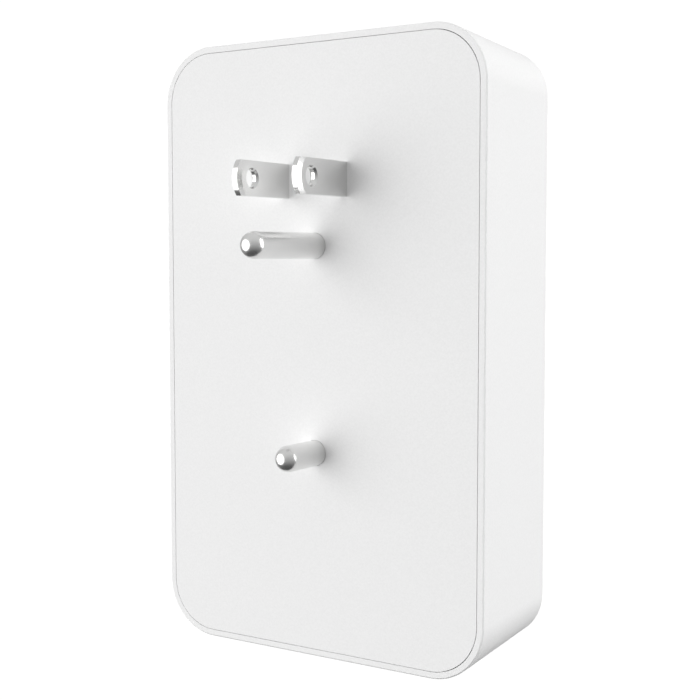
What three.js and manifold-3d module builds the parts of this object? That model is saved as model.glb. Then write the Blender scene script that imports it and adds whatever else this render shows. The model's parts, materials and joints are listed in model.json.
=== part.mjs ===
// Plug-in power meter for a North American duplex wall outlet.
// Millimetres. +Z is up and +Y points out of the back, towards the wall, so the display faces -Y.
// The origin is midway between the two plug blades, on the outer face of the rear cover.

import * as THREE from "three";
import { mergeVertices } from "three/addons/utils/BufferGeometryUtils.js";
import Module from "manifold-3d";

const wasm = await Module();
wasm.setup();

// ---- driving dimensions ----

// Clearances
const SEAT_GAP = 0.3; // between pieces that rest on each other
const PAST = 0.5; // how far a cutting tool runs past the face it cuts

// Case: as tall and wide as a single-gang wall plate, tapering towards the front
const CASE_WIDTH = 69.85;
const CASE_HEIGHT = 114.3;
const CASE_DEPTH = 28.3;
const CASE_CENTRE_Z = -31;
const CASE_CORNER = 10.5;
const CASE_DRAFT = 1.5; // how far each side leans in between the back and the front
const CORNER_STEPS = 8;
const WALL = 2.2;
const FRONT_INNER_Y = WALL - CASE_DEPTH;

// Rear cover, let into the back of the housing
const RIM = 1.26; // housing rim that shows round the cover
const COVER_GAP = 0.1; // hairline between rim and cover
const COVER_THICK = 2;
const COVER_CORNER = CASE_CORNER - RIM - COVER_GAP;

// Snap hooks along the cover's edge: the place of each along its side of the case
const HOOK_INSET = 3.1; // from the case outline to the arm's outer face
const HOOK_THICK = 1.2;
const HOOK_WIDTH = 8;
const HOOK_TIP_Y = -9;
const BARB_PROUD = 0.75;
const BARB_Y = [-8.2, -6];
const SIDE_HOOK_Z = [-5, -57];

// Plug: two parallel blades and a round ground pin
const BLADE_SPACING = 12.7;
const BLADE_THICK = 1.52;
const BLADE_WIDTH = 6.3;
const BLADE_LENGTH = 15.4;
const BLADE_BEVEL = 1.12; // set-back of the flat faces at the tip
const BLADE_CORE = 0.94; // thickness left between the two bevels
const BLADE_CORNER_DROP = 1.2; // how far the arc of the tip falls back at its ends
const BLADE_HOLE_RADIUS = 1.55;
const BLADE_HOLE_FLARE = 0.3; // how much wider the hole is at both faces
const BLADE_HOLE_SINK = 0.42; // depth over which it widens
const BLADE_HOLE_Y = 11.2;
const BLADE_SLOT_GAP = 0.1;
const GROUND_PIN_Z = -11.86;
const PIN_RADIUS = 2.38;
const GROUND_PIN_LENGTH = 20.7;
const RETAINING_PIN_DROP = 38.1; // pitch of the two ground holes of a duplex outlet
const RETAINING_PIN_LENGTH = 10.84;
const PIN_SIDES = 24;
const FLANGE_RADIUS = 3.8;
const FLANGE_Y = [-3.6, -2.3];
const TAIL_END_Y = -13.2;
const TAIL_RADIUS = 1.5;
const TAIL_WIDTH = 4;
const SHOULDER_WIDTH = 8.6;

// Power board, on pillars of the rear cover
const POWER_BOARD_Y = [-12.2, -10.6];
const PILLARS = [
  [-25.5, 16],
  [25.5, 16],
  [-25.5, -33],
  [25.5, -33],
];

// Prong clamp and pin keeper, screwed to bosses of the rear cover
const CLAMP_Y = [-8, -2.3];
const CLAMP_EAR_THICK = 1.7;
const CLAMP_SCREWS = [
  [-15, -5],
  [15, -5],
];
const RETAINING_PIN_Z = GROUND_PIN_Z - RETAINING_PIN_DROP;
const KEEPER_Y = [-6.7, -4.7];
const KEEPER_SCREWS = [
  [-9.5, RETAINING_PIN_Z],
  [9.5, RETAINING_PIN_Z],
];

// Display, behind a clear window
const WINDOW_WIDTH = 50;
const WINDOW_HEIGHT = 28;
const WINDOW_THICK = 1;
const WINDOW_Z = 3;
const WINDOW_LEDGE = 2.2;
const WINDOW_RECESS = 1.2;
const GLASS_Y = [-25.7, -23.7];
const DISPLAY_BOARD_Y = [-20, -18.4];
const DISPLAY_SCREWS = [
  [-28.6, 14],
  [28.6, 14],
  [-28.6, -29],
  [28.6, -29],
];

// Keys: a row of four below the display
const KEY_NAMES = ["mode", "down", "up", "reset"];
const KEY_PITCH = 13;
const KEY_Z = -24.5;
const KEY_WIDTH = 9.4;
const KEY_HEIGHT = 6.4;
const KEY_GAP = 0.25;
const KEY_TRAVEL = 0.8; // each key stands this proud, and a full press brings it flush
const DOME_Y = [-23, -20.3];

// Socket for the appliance's plug
const SOCKET_BLADE_Z = -57;
const SOCKET_CENTRE_Z = SOCKET_BLADE_Z - 5;
const SOCKET_GROUND_Z = SOCKET_BLADE_Z - 11.86;
const SOCKET_FACE_RADIUS = 17.1;
const SOCKET_FACE_HALF_HEIGHT = 14.3;
const SOCKET_FACE_Y = -28.6;
const SOCKET_FLANGE = 1.5;
const SOCKET_FLANGE_Y = [-25.8, -24.4];
const SOCKET_SLOT = 2.1;
const LINE_SLOT_HEIGHT = 6.9;
const NEUTRAL_SLOT_HEIGHT = 8.5;
const GROUND_HOLE_RADIUS = 2.75;
const CARRIER_Y = [-24.1, -9.8];
const CARRIER_SCREWS = [
  [-22, SOCKET_CENTRE_Z],
  [22, SOCKET_CENTRE_Z],
];
const EAR_Y = [-20, -18];
const CLIP_ROOM = 3.2; // half width of the cavity round a contact

// ---- shapes and solids ----

// A rounded rectangle as points in the XZ plane.
function roundedRect(width, height, radius, centreX = 0, centreZ = 0, steps = CORNER_STEPS) {
  const points = [];
  for (let corner = 0; corner < 4; corner++) {
    const sideX = corner === 0 || corner === 3 ? 1 : -1;
    const sideZ = corner < 2 ? 1 : -1;
    for (let i = 0; i <= steps; i++) {
      const angle = ((corner + i / steps) * Math.PI) / 2;
      const x = centreX + sideX * (width / 2 - radius) + radius * Math.cos(angle);
      const z = centreZ + sideZ * (height / 2 - radius) + radius * Math.sin(angle);
      points.push(new THREE.Vector2(x, z));
    }
  }
  return points;
}

// The case outline at depth y, moved in by inset.
function caseOutline(inset, y) {
  const shrink = inset + (CASE_DRAFT * -y) / CASE_DEPTH;
  const width = CASE_WIDTH - 2 * shrink;
  const height = CASE_HEIGHT - 2 * shrink;
  return roundedRect(width, height, CASE_CORNER - shrink, 0, CASE_CENTRE_Z);
}

// A closed skin through rings of equally many points, all anticlockwise; place puts one in space.
function loft(rings, place) {
  const count = rings[0].points.length;
  const positions = rings.flatMap((ring) => ring.points.flatMap((p) => place(p, ring.at)));
  const faces = THREE.ShapeUtils.triangulateShape(rings[0].points, []);
  const last = (rings.length - 1) * count;
  const indices = faces.flatMap(([a, b, c]) => [c, b, a, last + a, last + b, last + c]);
  for (let ring = 0; ring < rings.length - 1; ring++) {
    for (let i = 0; i < count; i++) {
      const a = ring * count + i;
      const b = ring * count + ((i + 1) % count);
      indices.push(a, b, a + count, b, b + count, a + count);
    }
  }
  const geometry = new THREE.BufferGeometry();
  geometry.setAttribute("position", new THREE.Float32BufferAttribute(positions, 3));
  geometry.setIndex(indices);
  return geometry;
}

// A tapering block that follows the case outline between two depths.
function caseBlock(inset, rearY, frontY) {
  const rings = [rearY, frontY].map((y) => ({ at: y, points: caseOutline(inset, y) }));
  return solid(loft(rings, (p, y) => [p.x, y, p.y]));
}

// A flat plate whose outline is given in the XZ plane, between two depths.
function slab(points, [frontY, rearY]) {
  const depth = rearY - frontY;
  const geometry = new THREE.ExtrudeGeometry(new THREE.Shape(points), { depth, bevelEnabled: false });
  return geometry.rotateX(Math.PI / 2).translate(0, rearY, 0);
}

function block([x0, x1], [y0, y1], [z0, z1]) {
  const geometry = new THREE.BoxGeometry(x1 - x0, y1 - y0, z1 - z0);
  return geometry.translate((x0 + x1) / 2, (y0 + y1) / 2, (z0 + z1) / 2);
}

// A round bar along Y.
function rod(radius, [y0, y1], [x, z] = [0, 0], sides = 12) {
  const geometry = new THREE.CylinderGeometry(radius, radius, y1 - y0, sides);
  return geometry.translate(x, (y0 + y1) / 2, z);
}

// A turned shape about the Y axis, from [radius, y] pairs of rising y.
function turned(profile, sides = 16) {
  const points = profile.map(([radius, y]) => new THREE.Vector2(radius, y));
  return new THREE.LatheGeometry(points, sides);
}

// A geometry as a manifold-3d solid, turned inside out if its faces point inwards.
function solid(geometry) {
  const bare = geometry.clone();
  bare.deleteAttribute("normal");
  bare.deleteAttribute("uv");
  const merged = mergeVertices(bare, 1e-4);
  const vertProperties = merged.attributes.position.array;
  const triVerts = new Uint32Array(merged.index.array);
  const made = new wasm.Manifold(new wasm.Mesh({ numProp: 3, vertProperties, triVerts }));
  if (made.volume() > 0) return made;
  return new wasm.Manifold(
    new wasm.Mesh({ numProp: 3, vertProperties, triVerts: triVerts.reverse() }),
  );
}

function joined(...geometries) {
  return geometries.map(solid).reduce((whole, piece) => whole.add(piece));
}

function cut(whole, ...geometries) {
  return geometries.map(solid).reduce((rest, tool) => rest.subtract(tool), whole);
}

// A manifold-3d solid back as a geometry.
function geometryOf(made) {
  const { vertProperties, triVerts } = made.getMesh();
  const geometry = new THREE.BufferGeometry();
  geometry.setAttribute("position", new THREE.BufferAttribute(vertProperties, 3));
  geometry.setIndex(new THREE.BufferAttribute(triVerts, 1));
  geometry.computeVertexNormals();
  return geometry;
}

// ---- materials ----

function finish(color, roughness, metalness = 0) {
  return new THREE.MeshStandardMaterial({ color, roughness, metalness, flatShading: true });
}

const whitePlastic = () => finish(0xf1f2f2, 0.5);
const innerPlastic = () => finish(0xe4e2da, 0.6);
const platedBrass = () => finish(0xc2c4c4, 0.3, 1);
const contactBrass = () => finish(0xc9a75c, 0.35, 1);
const steel = () => finish(0xa9adb0, 0.35, 1);
const circuitBoard = () => finish(0x1f6b43, 0.5);
const chipPlastic = () => finish(0x1c1d1f, 0.55);

// ---- the assembly ----

const meter = new THREE.Group();

function add(name, shape, material) {
  const geometry = shape.isBufferGeometry ? shape : geometryOf(shape);
  const mesh = new THREE.Mesh(geometry, material);
  mesh.name = name;
  meter.add(mesh);
  return mesh;
}

// ---- case ----

// The snap arm of the +X side, at z = 0: a flat spring with a barb that faces outwards.
function snapHook() {
  const outer = CASE_WIDTH / 2 - HOOK_INSET;
  const profile = [
    [outer - HOOK_THICK, -COVER_THICK + PAST],
    [outer - HOOK_THICK, HOOK_TIP_Y],
    [outer - 0.3, HOOK_TIP_Y],
    [outer + BARB_PROUD, BARB_Y[0]],
    [outer + BARB_PROUD, BARB_Y[1] - 0.6],
    [outer, BARB_Y[1]],
    [outer, -COVER_THICK + PAST],
  ];
  const shape = new THREE.Shape(profile.map(([x, y]) => new THREE.Vector2(x, y)));
  const geometry = new THREE.ExtrudeGeometry(shape, { depth: HOOK_WIDTH, bevelEnabled: false });
  return geometry.translate(0, 0, -HOOK_WIDTH / 2);
}

// The pocket in the housing wall that a barb clicks into.
function snapPocket() {
  const outer = CASE_WIDTH / 2 - HOOK_INSET;
  const reach = outer + BARB_PROUD + 0.45;
  const half = HOOK_WIDTH / 2 + 0.5;
  return block([outer - 2, reach], [BARB_Y[0] - 0.6, BARB_Y[1] + 0.6], [-half, half]);
}

// Puts a copy of a +X side feature at each hook place: two on each long side, one on each short one.
function atEachHook(makeFeature) {
  const shortSideShift = (CASE_HEIGHT - CASE_WIDTH) / 2;
  const longSides = [0, Math.PI].flatMap((turn) =>
    SIDE_HOOK_Z.map((z) => makeFeature().rotateY(turn).translate(0, 0, z)),
  );
  const shortSides = [1, -1].map((end) =>
    makeFeature()
      .rotateY((-end * Math.PI) / 2)
      .translate(0, 0, CASE_CENTRE_Z + end * shortSideShift),
  );
  return [...longSides, ...shortSides];
}

// An outline like one half of a duplex outlet: a circle with a flat top and bottom.
function duplexOutline(radius, halfHeight, steps = 10) {
  const reach = Math.asin(halfHeight / radius);
  const points = [];
  for (const side of [0, Math.PI]) {
    for (let i = 0; i <= steps; i++) {
      const angle = side + reach * ((2 * i) / steps - 1);
      points.push(new THREE.Vector2(radius * Math.cos(angle), SOCKET_CENTRE_Z + radius * Math.sin(angle)));
    }
  }
  return points;
}

function keyX(index) {
  return (index - (KEY_NAMES.length - 1) / 2) * KEY_PITCH;
}

function keyOutline(index, grow) {
  const height = KEY_HEIGHT + 2 * grow;
  return roundedRect(KEY_WIDTH + 2 * grow, height, height / 2 - 0.01, keyX(index), KEY_Z, 5);
}

// A hollow post for a screw, from the wall at rootY to its top, and the blind hole in it.
function post(at, radius, rootY, topY) {
  const range = [Math.min(rootY, topY), Math.max(rootY, topY)];
  return rod(radius, range, at);
}

function frontHousing() {
  const throughFront = [-CASE_DEPTH - PAST, FRONT_INNER_Y + PAST];
  const shell = caseBlock(0, 0, -CASE_DEPTH).subtract(caseBlock(WALL, -COVER_THICK, FRONT_INNER_Y));
  const posts = [...DISPLAY_SCREWS, ...CARRIER_SCREWS].map((at, i) => {
    const isDisplay = i < DISPLAY_SCREWS.length;
    const top = (isDisplay ? DISPLAY_BOARD_Y[0] : EAR_Y[0]) - SEAT_GAP;
    return post(at, isDisplay ? 2.1 : 2.7, FRONT_INNER_Y - PAST, top);
  });
  const withPosts = posts.map(solid).reduce((whole, piece) => whole.add(piece), shell);
  const rebateDepth = COVER_THICK + SEAT_GAP;
  const rebate = roundedRect(
    CASE_WIDTH - 2 * RIM,
    CASE_HEIGHT - 2 * RIM,
    CASE_CORNER - RIM,
    0,
    CASE_CENTRE_Z,
  );
  const view = roundedRect(
    WINDOW_WIDTH - 2 * WINDOW_LEDGE,
    WINDOW_HEIGHT - 2 * WINDOW_LEDGE,
    2,
    0,
    WINDOW_Z,
    4,
  );
  const recess = roundedRect(WINDOW_WIDTH + 0.3, WINDOW_HEIGHT + 0.3, 3.15, 0, WINDOW_Z, 6);
  return cut(
    withPosts,
    slab(rebate, [-rebateDepth, PAST]),
    ...atEachHook(snapPocket),
    slab(recess, [-CASE_DEPTH - PAST, WINDOW_RECESS - CASE_DEPTH]),
    slab(view, throughFront),
    ...KEY_NAMES.map((_, i) => slab(keyOutline(i, KEY_GAP), throughFront)),
    slab(duplexOutline(SOCKET_FACE_RADIUS + 0.2, SOCKET_FACE_HALF_HEIGHT + 0.2), throughFront),
    ...DISPLAY_SCREWS.map((at) => rod(1.25, [-24.6, DISPLAY_BOARD_Y[0]], at)),
    ...CARRIER_SCREWS.map((at) => rod(1.45, [-24.6, EAR_Y[0]], at)),
  );
}

function rearCover() {
  const outline = roundedRect(
    CASE_WIDTH - 2 * (RIM + COVER_GAP),
    CASE_HEIGHT - 2 * (RIM + COVER_GAP),
    COVER_CORNER,
    0,
    CASE_CENTRE_Z,
  );
  const inside = -COVER_THICK + PAST;
  const body = joined(
    slab(outline, [-COVER_THICK, 0]),
    ...atEachHook(snapHook),
    ...PILLARS.map((at) => post(at, 2.7, inside, POWER_BOARD_Y[1] + SEAT_GAP)),
    ...CLAMP_SCREWS.map((at) => post(at, 3.2, inside, -6)),
    ...KEEPER_SCREWS.map((at) => post(at, 2.8, inside, KEEPER_Y[1] + SEAT_GAP)),
  );
  const bladeSlots = [-1, 1].map((side) => {
    const x = (side * BLADE_SPACING) / 2;
    const half = BLADE_THICK / 2 + BLADE_SLOT_GAP;
    const reach = BLADE_WIDTH / 2 + BLADE_SLOT_GAP;
    return block([x - half, x + half], [-COVER_THICK - PAST, PAST], [-reach, reach]);
  });
  const pinHoles = [GROUND_PIN_Z, RETAINING_PIN_Z].map((z) =>
    rod(PIN_RADIUS + BLADE_SLOT_GAP, [-COVER_THICK - PAST, PAST], [0, z], PIN_SIDES),
  );
  return cut(
    body,
    ...bladeSlots,
    ...pinHoles,
    ...PILLARS.map((at) => rod(1.4, [-11, -3], at)),
    ...CLAMP_SCREWS.map((at) => rod(1.4, [-7, -1.5], at)),
    ...KEEPER_SCREWS.map((at) => rod(1.4, [-5, -1.2], at)),
  );
}

// ---- plug ----

// One blade's outline in the YZ plane, its tip set back by setBack.
function bladeOutline(setBack) {
  const half = BLADE_WIDTH / 2;
  const tipRadius = (half ** 2 + BLADE_CORNER_DROP ** 2) / (2 * BLADE_CORNER_DROP);
  const steps = 10;
  const points = [
    [-COVER_THICK - SEAT_GAP, -half],
    [FLANGE_Y[1], -SHOULDER_WIDTH / 2],
    [FLANGE_Y[0], -SHOULDER_WIDTH / 2],
    [FLANGE_Y[0], -TAIL_WIDTH / 2],
    [TAIL_END_Y, -TAIL_WIDTH / 2],
    [TAIL_END_Y, TAIL_WIDTH / 2],
    [FLANGE_Y[0], TAIL_WIDTH / 2],
    [FLANGE_Y[0], SHOULDER_WIDTH / 2],
    [FLANGE_Y[1], SHOULDER_WIDTH / 2],
    [-COVER_THICK - SEAT_GAP, half],
  ].map(([y, z]) => new THREE.Vector2(y, z));
  for (let i = 0; i <= steps; i++) {
    const z = half * (1 - (2 * i) / steps);
    const drop = tipRadius - Math.sqrt(tipRadius ** 2 - z ** 2);
    points.push(new THREE.Vector2(BLADE_LENGTH - setBack - drop, z));
  }
  return points.reverse();
}

function blade(side) {
  const x = (side * BLADE_SPACING) / 2;
  const flat = BLADE_THICK / 2;
  const core = BLADE_CORE / 2;
  const rings = [
    { at: x - flat, points: bladeOutline(BLADE_BEVEL) },
    { at: x - core, points: bladeOutline(0) },
    { at: x + core, points: bladeOutline(0) },
    { at: x + flat, points: bladeOutline(BLADE_BEVEL) },
  ];
  const body = solid(loft(rings, (p, at) => [at, p.x, p.y]));
  const straight = flat - BLADE_HOLE_SINK;
  const reach = straight + 2 * BLADE_HOLE_SINK;
  const mouth = BLADE_HOLE_RADIUS + 2 * BLADE_HOLE_FLARE;
  const drill = turned(
    [
      [0, -reach],
      [mouth, -reach],
      [BLADE_HOLE_RADIUS, -straight],
      [BLADE_HOLE_RADIUS, straight],
      [mouth, reach],
      [0, reach],
    ],
    24,
  );
  return cut(body, drill.rotateZ(Math.PI / 2).translate(x, BLADE_HOLE_Y, 0));
}

// A round pin with a domed tip, a flange behind the cover and, if tailY is given, a tail.
function pin(length, tailY) {
  const domeSteps = 6;
  const tail = [
    [0, tailY],
    [TAIL_RADIUS, tailY],
    [TAIL_RADIUS, FLANGE_Y[0]],
  ];
  const profile = [
    ...(tailY ? tail : [[0, FLANGE_Y[0]]]),
    [FLANGE_RADIUS, FLANGE_Y[0]],
    [FLANGE_RADIUS, FLANGE_Y[1]],
    [PIN_RADIUS, FLANGE_Y[1]],
  ];
  for (let i = 0; i <= domeSteps; i++) {
    const angle = (i / domeSteps) * (Math.PI / 2);
    const radius = i === domeSteps ? 0 : PIN_RADIUS * Math.cos(angle);
    profile.push([radius, length - PIN_RADIUS + PIN_RADIUS * Math.sin(angle)]);
  }
  return turned(profile, PIN_SIDES);
}

// The insulating block that holds the blades and the ground pin against the cover.
function prongClamp() {
  const body = joined(
    slab(roundedRect(23, 22.5, 2, 0, -5.75, 3), CLAMP_Y),
    slab(roundedRect(37, 8, 2, 0, -5, 3), [CLAMP_Y[0], CLAMP_Y[0] + CLAMP_EAR_THICK]),
  );
  const deep = FLANGE_Y[0] - SEAT_GAP;
  const through = [CLAMP_Y[0] - PAST, CLAMP_Y[1] + PAST];
  const pocket = [deep, CLAMP_Y[1] + PAST];
  const slots = [-1, 1].flatMap((side) => {
    const x = (side * BLADE_SPACING) / 2;
    const half = BLADE_THICK / 2 + SEAT_GAP;
    const tail = TAIL_WIDTH / 2 + SEAT_GAP;
    const shoulder = SHOULDER_WIDTH / 2 + SEAT_GAP;
    return [
      block([x - half, x + half], through, [-tail, tail]),
      block([x - half, x + half], pocket, [-shoulder, shoulder]),
    ];
  });
  return cut(
    body,
    ...slots,
    rod(TAIL_RADIUS + SEAT_GAP, through, [0, GROUND_PIN_Z]),
    rod(FLANGE_RADIUS + SEAT_GAP, pocket, [0, GROUND_PIN_Z], PIN_SIDES),
    ...CLAMP_SCREWS.map((at) => rod(1.6, through, at)),
  );
}

// The strap that holds the retaining pin's flange against the cover.
function pinKeeper() {
  const body = joined(
    slab(roundedRect(25, 10, 3, 0, RETAINING_PIN_Z, 4), KEEPER_Y),
    rod(FLANGE_RADIUS, [KEEPER_Y[0], FLANGE_Y[0] - SEAT_GAP], [0, RETAINING_PIN_Z], 24),
  );
  const holes = KEEPER_SCREWS.map((at) => rod(1.6, [KEEPER_Y[0] - PAST, KEEPER_Y[1] + PAST], at));
  return cut(body, ...holes);
}

// A pan-head screw that points along +Y, with the underside of its head at y = 0.
function screw(headRadius, shaftRadius, length) {
  const profile = [
    [0, -1.5],
    [headRadius * 0.7, -1.5],
    [headRadius, -0.7],
    [headRadius, 0],
    [shaftRadius, 0],
    [shaftRadius, length - 0.7],
    [0, length],
  ];
  return turned(profile, 10);
}

function addScrews(name, places, headY, size, towardsFront = false) {
  places.forEach(([x, z], i) => {
    const mesh = add(`${name}_${i + 1}`, screw(...size), steel());
    mesh.position.set(x, headY, z);
    if (towardsFront) mesh.rotation.x = Math.PI;
  });
}

// ---- socket ----

function socketOpenings(range) {
  const slot = (x, height) => {
    const zRange = [SOCKET_BLADE_Z - height / 2, SOCKET_BLADE_Z + height / 2];
    return block([x - SOCKET_SLOT / 2, x + SOCKET_SLOT / 2], range, zRange);
  };
  return [
    slot(BLADE_SPACING / 2, LINE_SLOT_HEIGHT),
    slot(-BLADE_SPACING / 2, NEUTRAL_SLOT_HEIGHT),
    slab(groundHoleOutline(), range),
  ];
}

// A ground hole is round on the side away from the blades and square on the other.
function groundHoleOutline() {
  const steps = 16;
  const r = GROUND_HOLE_RADIUS;
  const points = [new THREE.Vector2(r, SOCKET_GROUND_Z + r), new THREE.Vector2(-r, SOCKET_GROUND_Z + r)];
  for (let i = 0; i <= steps; i++) {
    const angle = Math.PI * (1 + i / steps);
    points.push(new THREE.Vector2(r * Math.cos(angle), SOCKET_GROUND_Z + r * Math.sin(angle)));
  }
  return points;
}

function socketFace() {
  const body = joined(
    slab(duplexOutline(SOCKET_FACE_RADIUS, SOCKET_FACE_HALF_HEIGHT), [SOCKET_FACE_Y, SOCKET_FLANGE_Y[1]]),
    slab(
      duplexOutline(SOCKET_FACE_RADIUS + SOCKET_FLANGE, SOCKET_FACE_HALF_HEIGHT + SOCKET_FLANGE),
      SOCKET_FLANGE_Y,
    ),
  );
  return cut(body, ...socketOpenings([SOCKET_FACE_Y - PAST, SOCKET_FLANGE_Y[1] + PAST]));
}

// The moulding behind the face that holds the three contacts.
function socketCarrier() {
  const towerRear = -6.2;
  const cavityFront = -22.9;
  const body = joined(
    block([-17.5, 17.5], CARRIER_Y, [-78, -46]),
    block([-6.5, 6.5], [CARRIER_Y[0] + PAST, towerRear], [-75.5, -62.4]),
    slab(roundedRect(50, 8, 2, 0, SOCKET_CENTRE_Z, 3), EAR_Y),
  );
  const cavities = [-1, 1].map((side) => {
    const x = (side * BLADE_SPACING) / 2;
    const zRange = [SOCKET_BLADE_Z - 5.2, SOCKET_BLADE_Z + 5.2];
    return block([x - CLIP_ROOM, x + CLIP_ROOM], [cavityFront, CARRIER_Y[1] + PAST], zRange);
  });
  const groundPassage = block(
    [-CLIP_ROOM, CLIP_ROOM],
    [CARRIER_Y[0] - PAST, 0],
    [SOCKET_GROUND_Z - CLIP_ROOM, SOCKET_GROUND_Z + CLIP_ROOM],
  );
  return cut(
    body,
    ...socketOpenings([CARRIER_Y[0] - PAST, cavityFront + PAST]),
    ...cavities,
    groundPassage,
    ...CARRIER_SCREWS.map((at) => rod(1.6, [EAR_Y[0] - PAST, EAR_Y[1] + PAST], at)),
  );
}

// A folded spring contact: two leaves that grip a prong, a base and a tail, cut from one strip.
function springClip({ halfGap, flare, leaf, mouthY, baseY, tailY, width, centreZ }) {
  const right = [
    [0.3, tailY],
    [0.3, baseY],
    [halfGap + leaf, baseY],
    [halfGap + leaf, mouthY + 2],
    [halfGap + flare + leaf, mouthY],
    [halfGap + flare, mouthY],
    [halfGap, mouthY + 2],
    [halfGap, baseY - leaf],
  ];
  const left = right.map(([x, y]) => [-x, y]).reverse();
  const shape = new THREE.Shape([...right, ...left].map(([x, y]) => new THREE.Vector2(x, y)));
  const geometry = new THREE.ExtrudeGeometry(shape, { depth: width, bevelEnabled: false });
  return geometry.translate(0, 0, centreZ - width / 2);
}

const BLADE_CLIP = {
  halfGap: 0.55,
  flare: 1.1,
  leaf: 0.6,
  mouthY: -22.5,
  baseY: -9.5,
  tailY: -8.6,
  width: 8,
  centreZ: SOCKET_BLADE_Z,
};
const GROUND_CLIP = {
  halfGap: 2.2,
  flare: 0.1,
  leaf: 0.6,
  mouthY: -22.5,
  baseY: -6.4,
  tailY: -4.9,
  width: 5.4,
  centreZ: SOCKET_GROUND_Z,
};

// ---- display ----

function lcdFrame() {
  const outer = roundedRect(51.8, 33.6, 1.5, 0, WINDOW_Z - 0.4, 3);
  const body = solid(slab(outer, [-25.8, -20.3]));
  return cut(body, block([-24.9, 24.9], [-27, -19], [WINDOW_Z - 15.1, WINDOW_Z + 14.7]));
}

// A board with a round hole at each place, and slots or holes given as cutting tools.
function board([x0, x1], yRange, [z0, z1], holes, tools = []) {
  const outline = roundedRect(x1 - x0, z1 - z0, 2, (x0 + x1) / 2, (z0 + z1) / 2, 3);
  const drills = holes.map((at) => rod(1.5, [yRange[0] - PAST, yRange[1] + PAST], at));
  return cut(solid(slab(outline, yRange)), ...drills, ...tools);
}

function powerBoard() {
  const through = [POWER_BOARD_Y[0] - PAST, POWER_BOARD_Y[1] + PAST];
  const slots = [-1, 1].map((side) => {
    const x = (side * BLADE_SPACING) / 2;
    return block([x - 1.06, x + 1.06], through, [-2.3, 2.3]);
  });
  const pinHole = rod(TAIL_RADIUS + SEAT_GAP, through, [0, GROUND_PIN_Z]);
  return board([-29.5, 29.5], POWER_BOARD_Y, [-37, 20], PILLARS, [...slots, pinHole]);
}

// ---- keys ----

// A keycap: a pill-shaped top that shows through the front, a flange behind it and a stem.
function keycap(index) {
  const flangeY = [FRONT_INNER_Y + SEAT_GAP, FRONT_INNER_Y + SEAT_GAP + 1];
  return joined(
    slab(keyOutline(index, 0), [-CASE_DEPTH - KEY_TRAVEL, flangeY[1]]),
    slab(keyOutline(index, 0.9), flangeY),
    rod(1.5, [flangeY[0], DOME_Y[0] - SEAT_GAP], [keyX(index), KEY_Z], 12),
  );
}

// A silicone dome that the stem presses down onto the board; it is open towards the board.
function keyDome() {
  const height = DOME_Y[1] - DOME_Y[0];
  return turned(
    [
      [0, 0],
      [1.8, 0],
      [2.4, 0.7],
      [3.2, height - 0.8],
      [3.8, height - 0.6],
      [3.8, height],
      [2.5, height],
      [1.7, 1.2],
      [0, 1.2],
    ],
    12,
  );
}

// ---- electronics ----

// A metal strip that bridges two pads in a low arch.
function shuntStrip() {
  const profile = [
    [-9, 0],
    [-5, 0],
    [-4, -1.6],
    [4, -1.6],
    [5, 0],
    [9, 0],
    [9, -0.8],
    [5.5, -0.8],
    [4.5, -2.4],
    [-4.5, -2.4],
    [-5.5, -0.8],
    [-9, -0.8],
  ];
  const shape = new THREE.Shape(profile.map(([x, y]) => new THREE.Vector2(x, y)));
  return new THREE.ExtrudeGeometry(shape, { depth: 5, bevelEnabled: false });
}

// A wire through points, with a six-sided section.
function wire(radius, points, steps) {
  const path = new THREE.CatmullRomCurve3(points.map(([x, y, z]) => new THREE.Vector3(x, y, z)));
  const section = new THREE.Shape();
  section.absarc(0, 0, radius, 0, Math.PI * 2);
  return new THREE.ExtrudeGeometry(section, {
    steps,
    curveSegments: 3,
    bevelEnabled: false,
    extrudePath: path,
  });
}

// Both live wires leave the board's lower edge, pass beside the carrier and turn in to a contact.
function liveWire(side) {
  const points = [
    [16.5, -13.7, -34.5],
    [17.8, -13.6, -38],
    [20.2, -11, -43],
    [21, -8, -50],
    [20.2, -7.8, -56.5],
    [16, -7.8, -59.6],
    [11, -7.8, -59.6],
    [7.2, -7.9, -58.8],
  ];
  return wire(
    0.9,
    points.map(([x, y, z]) => [side * x, y, z]),
    16,
  );
}

function groundWire() {
  const points = [
    [-0.4, -14.6, -14],
    [-3.4, -15, -19],
    [-11.5, -15.3, -23.5],
    [-20.5, -15.3, -29],
    [-26.4, -14.9, -36.5],
    [-27.8, -11, -45],
    [-27.6, -7.4, -55],
    [-24.6, -5.2, -64],
    [-17, -4.2, -70.5],
    [-9, -4.1, -71],
    [-1.6, -3.7, -69.6],
  ];
  return wire(1, points, 24);
}

// ---- build ----

add("front_housing", frontHousing(), whitePlastic());
add("rear_cover", rearCover(), whitePlastic());

add("line_blade", blade(1), platedBrass());
add("neutral_blade", blade(-1), platedBrass());
add("ground_pin", pin(GROUND_PIN_LENGTH, TAIL_END_Y), platedBrass()).position.z = GROUND_PIN_Z;
add("retaining_pin", pin(RETAINING_PIN_LENGTH), platedBrass()).position.z = RETAINING_PIN_Z;
add("prong_clamp", prongClamp(), innerPlastic());
addScrews("prong_clamp_screw", CLAMP_SCREWS, CLAMP_Y[0] - SEAT_GAP, [2.4, 1.1, 5.5]);
add("pin_keeper", pinKeeper(), innerPlastic());
addScrews("pin_keeper_screw", KEEPER_SCREWS, KEEPER_Y[0] - SEAT_GAP, [2.2, 1.1, 5.2]);

add("socket_face", socketFace(), whitePlastic());
add("socket_carrier", socketCarrier(), innerPlastic());
addScrews("carrier_screw", CARRIER_SCREWS, EAR_Y[1] + SEAT_GAP, [2.4, 1.1, 6], true);
add("line_contact", springClip(BLADE_CLIP), contactBrass()).position.x = BLADE_SPACING / 2;
add("neutral_contact", springClip(BLADE_CLIP), contactBrass()).position.x = -BLADE_SPACING / 2;
add("ground_contact", springClip(GROUND_CLIP), contactBrass());

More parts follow.
